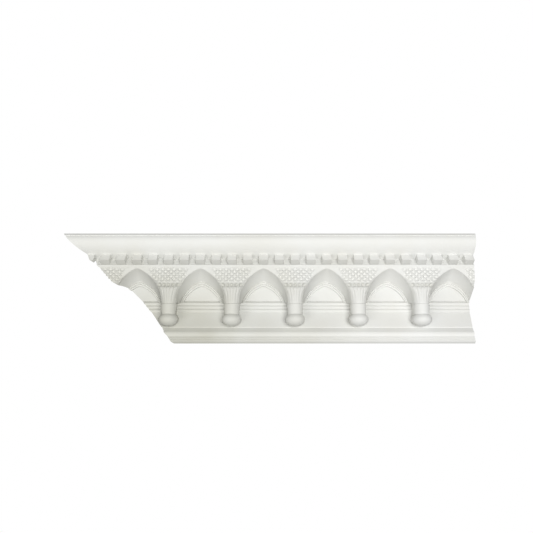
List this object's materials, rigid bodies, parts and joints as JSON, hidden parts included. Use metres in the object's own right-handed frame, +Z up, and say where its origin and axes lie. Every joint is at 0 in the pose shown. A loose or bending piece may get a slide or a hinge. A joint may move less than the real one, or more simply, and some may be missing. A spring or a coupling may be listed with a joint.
{
  "type": "cornice moulding length",
  "caption": "Length of cast plaster cornice with pointed arches between fluted fans, round drops, dentils and a curved crown, cut slanting at one end and square at the other.",
  "frame": {"origin": "middle of the flat face that is fixed to the wall", "axes": "+X along the length towards the square end, -Y out of the wall into the room, +Z up to the ceiling"},
  "size_m": [0.518, 0.0979, 0.0982],
  "materials": {
    "white_plaster": "matte"
  },
  "bodies": {
    "root": {"cornice_length": "white_plaster"}
  },
  "joints": []
}
